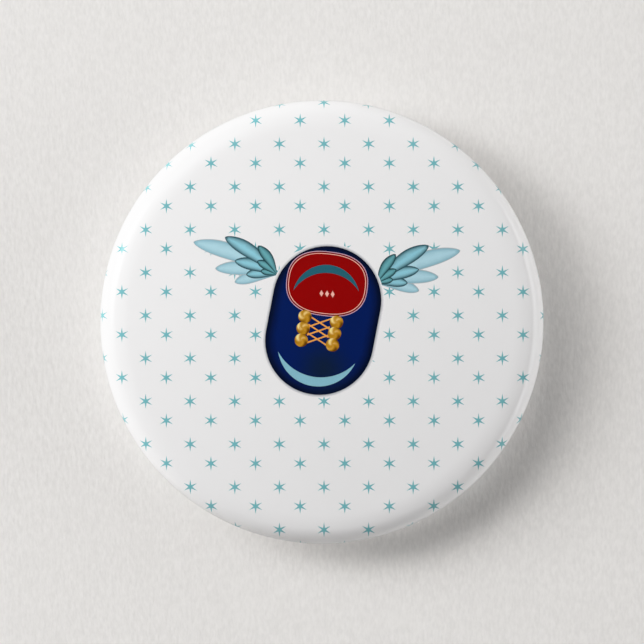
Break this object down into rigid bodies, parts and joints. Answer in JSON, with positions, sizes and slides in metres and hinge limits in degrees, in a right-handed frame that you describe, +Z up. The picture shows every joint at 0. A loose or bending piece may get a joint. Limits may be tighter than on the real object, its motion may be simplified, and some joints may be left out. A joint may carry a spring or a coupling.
{
  "type": "button badge",
  "caption": "Round domed pin-back button badge: film over a printed disc on a tinplate shell, with a recessed back plate and a swivelling safety pin.",
  "frame": {"origin": "middle of the rear rim's plane, where the badge lies against cloth or a wall", "axes": "-Y out of the printed face, +Y towards the wearer, +Z up the artwork, +X to the right seen from the front"},
  "size_m": [0.0572, 0.007, 0.0572],
  "materials": {
    "film": "clear gloss polyester film",
    "printed_paper": "printed paper with a satin surface",
    "shell_tinplate": "bare tinplate",
    "plate_tinplate": "bright tinplate with a fine rolled grain",
    "pin_wire": "bright nickel plate",
    "clasp_steel": "satin nickel plate"
  },
  "bodies": {
    "badge": {"clear_film": "film", "printed_disc": "printed_paper", "front_shell": "shell_tinplate", "back_plate": "plate_tinplate"},
    "pin_frame": {"pin_fixed_leg": "pin_wire", "pin_coil": "pin_wire", "pin_cap": "clasp_steel"},
    "arm": {"pin_arm": "pin_wire"}
  },
  "joints": [
    {"name": "pin_swivel", "type": "hinge", "parent": "badge", "child": "pin_frame", "pos_m": [0, -0.0031, 0.005], "axis": [1, 0, 0], "range_deg": [0, 100]},
    {"name": "pin_open", "type": "hinge", "parent": "pin_frame", "child": "arm", "pos_m": [-0.01655, -0.00168, 0.0019], "axis": [0, 0.5, 0.866], "range_deg": [0, 30]}
  ]
}
